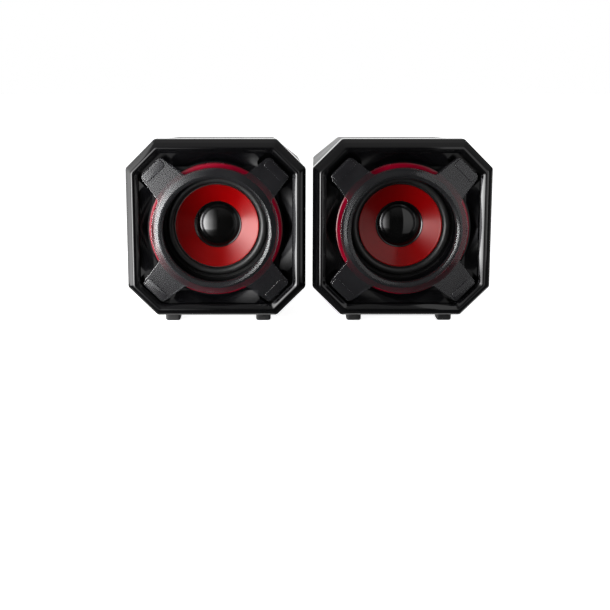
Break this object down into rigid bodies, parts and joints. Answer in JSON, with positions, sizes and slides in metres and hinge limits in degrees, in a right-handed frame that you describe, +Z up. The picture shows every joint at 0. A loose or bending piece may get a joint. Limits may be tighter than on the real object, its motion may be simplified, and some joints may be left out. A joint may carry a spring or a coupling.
{
  "type": "desktop speakers",
  "caption": "Compact octagonal desktop loudspeakers in a pair, with red cone drivers behind smoked cross-shaped covers, rear ports and a rear volume knob.",
  "frame": {"origin": "centre of the pair's footprint, on the surface that the feet stand on", "axes": "+X to the right as seen from the front, -Y is the way the drivers face, +Z up"},
  "size_m": [0.1754, 0.0952, 0.0904],
  "materials": {
    "gloss_black": "piano black injection-moulded ABS, polished",
    "accent_red": "translucent crimson acrylic",
    "smoked_plastic": "smoked see-through polycarbonate, polished",
    "black_screws": "black oxide steel screws",
    "cabinet_black": "fine spark-eroded texture, black ABS",
    "panel_black": "fine matt texture, black ABS",
    "foot_rubber": "moulded black rubber",
    "port_black": "satin black ABS",
    "gland_rubber": "moulded black rubber",
    "foam": "closed-cell foam",
    "basket_steel": "pressed steel, black coated",
    "zinc_steel": "bright zinc plate",
    "surround_rubber": "satin butyl rubber",
    "cone_red": "metallic red lacquered cone",
    "cap_black": "gloss black dome",
    "former_aluminium": "rolled foil",
    "coil_copper": "enamelled copper wire",
    "spider_cloth": "resin-treated cotton",
    "ferrite": "sintered ferrite",
    "phenolic": "paper phenolic board with tags",
    "wire_red": "PVC insulation",
    "board_green": "solder mask",
    "board_parts": "component sleeves",
    "pot_metal": "nickel plate",
    "knob_black": "satin black ABS, fluted"
  },
  "bodies": {
    "left_speaker": {"left_front_bezel": "gloss_black", "left_baffle": "gloss_black", "left_accent_ring": "accent_red", "left_smoked_cover": "smoked_plastic", "left_cover_screws": "black_screws", "left_cabinet_shell": "cabinet_black", "left_rear_panel": "panel_black", "left_rear_screws": "black_screws", "left_feet": "foot_rubber", "left_port_tube": "port_black", "left_link_gland": "gland_rubber", "left_driver_gasket": "foam", "left_basket": "basket_steel", "left_driver_screws": "zinc_steel", "left_surround": "surround_rubber", "left_spider": "spider_cloth", "left_top_plate": "zinc_steel", "left_magnet": "ferrite", "left_yoke": "zinc_steel", "left_terminal_strip": "phenolic", "left_speaker_wires": "wire_red"},
    "left_cone_assembly": {"left_cone": "cone_red", "left_dust_cap": "cap_black", "left_coil_former": "former_aluminium", "left_voice_coil": "coil_copper"},
    "right_speaker": {"right_front_bezel": "gloss_black", "right_baffle": "gloss_black", "right_accent_ring": "accent_red", "right_smoked_cover": "smoked_plastic", "right_cover_screws": "black_screws", "right_cabinet_shell": "cabinet_black", "right_rear_panel": "panel_black", "right_rear_screws": "black_screws", "right_feet": "foot_rubber", "right_port_tube": "port_black", "right_link_gland": "gland_rubber", "right_driver_gasket": "foam", "right_basket": "basket_steel", "right_driver_screws": "zinc_steel", "right_surround": "surround_rubber", "right_spider": "spider_cloth", "right_top_plate": "zinc_steel", "right_magnet": "ferrite", "right_yoke": "zinc_steel", "right_terminal_strip": "phenolic", "right_speaker_wires": "wire_red", "right_input_gland": "gland_rubber", "right_amp_board": "board_green", "right_board_parts": "board_parts", "right_volume_pot": "pot_metal", "right_pot_nut": "zinc_steel"},
    "right_cone_assembly": {"right_cone": "cone_red", "right_dust_cap": "cap_black", "right_coil_former": "former_aluminium", "right_voice_coil": "coil_copper"},
    "volume_control": {"right_pot_shaft": "pot_metal", "right_volume_knob": "knob_black"}
  },
  "joints": [
    {"name": "left_cone_travel", "type": "slide", "parent": "left_speaker", "child": "left_cone_assembly", "axis": [0, -1, 0], "range_m": [-0.0018, 0.0018], "stiffness_N_per_m": 500, "deforming": ["left_surround", "left_spider"]},
    {"name": "right_cone_travel", "type": "slide", "parent": "right_speaker", "child": "right_cone_assembly", "axis": [0, -1, 0], "range_m": [-0.0018, 0.0018], "stiffness_N_per_m": 500, "deforming": ["right_surround", "right_spider"]},
    {"name": "cabinet_spacing", "type": "slide", "parent": "left_speaker", "child": "right_speaker", "axis": [1, 0, 0], "range_m": [0, 0.25]},
    {"name": "volume_turn", "type": "hinge", "parent": "right_speaker", "child": "volume_control", "pos_m": [0.04465, 0.04195, 0.0364], "axis": [0, 1, 0], "range_deg": [-150, 150]}
  ]
}
